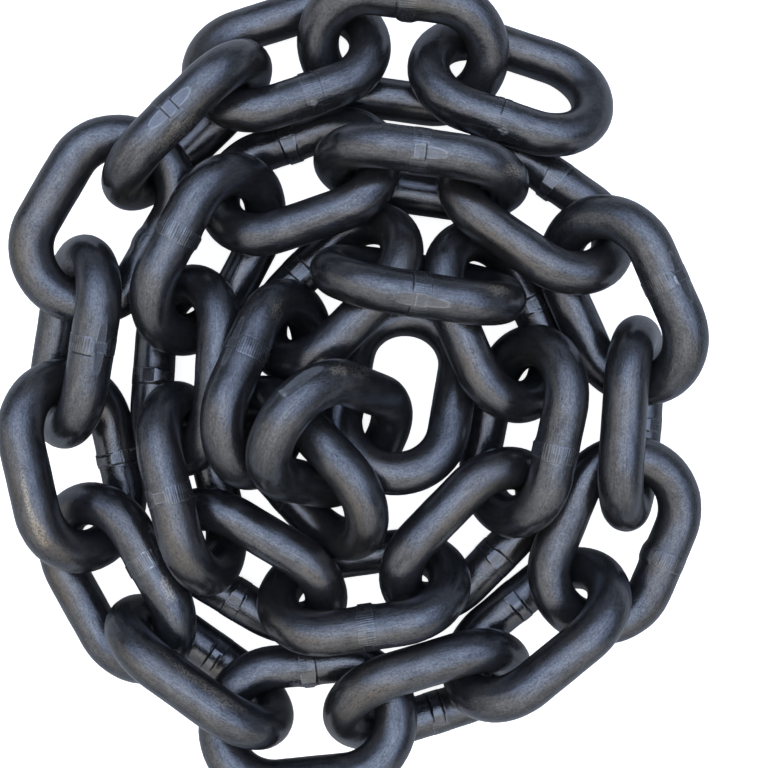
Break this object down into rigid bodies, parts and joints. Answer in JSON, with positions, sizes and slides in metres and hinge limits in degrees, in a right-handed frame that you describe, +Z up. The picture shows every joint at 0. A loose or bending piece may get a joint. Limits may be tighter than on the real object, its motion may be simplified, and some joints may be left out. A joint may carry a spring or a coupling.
{
  "type": "lifting chain heap",
  "caption": "Heap of round-link lifting chain in blackened steel: short welded links of round bar, hooked one through the next and coiled into a loose flat spiral.",
  "frame": {"origin": "on the floor under the centre of the heap's bounding box", "axes": "+Z up from the floor; +Y along the heap's longer way across, towards the top of the picture; +X to the right of the picture"},
  "size_m": [0.1589, 0.1889, 0.0464],
  "materials": {
    "blackened_steel": "smooth semi-gloss black oxide on alloy steel, with faint grey rubs and bright scuffs at the trimmed welds"
  },
  "bodies": {
    "root": {"link_01": "blackened_steel", "link_02": "blackened_steel", "link_03": "blackened_steel", "link_04": "blackened_steel", "link_05": "blackened_steel", "link_06": "blackened_steel", "link_07": "blackened_steel", "link_08": "blackened_steel", "link_09": "blackened_steel", "link_10": "blackened_steel", "link_11": "blackened_steel", "link_12": "blackened_steel", "link_13": "blackened_steel", "link_14": "blackened_steel", "link_15": "blackened_steel", "link_16": "blackened_steel", "link_17": "blackened_steel", "link_18": "blackened_steel", "link_19": "blackened_steel", "link_20": "blackened_steel", "link_21": "blackened_steel", "link_22": "blackened_steel", "link_23": "blackened_steel", "link_24": "blackened_steel", "link_25": "blackened_steel", "link_26": "blackened_steel", "link_27": "blackened_steel", "link_28": "blackened_steel", "link_29": "blackened_steel", "link_30": "blackened_steel", "link_31": "blackened_steel", "link_32": "blackened_steel"}
  },
  "joints": []
}
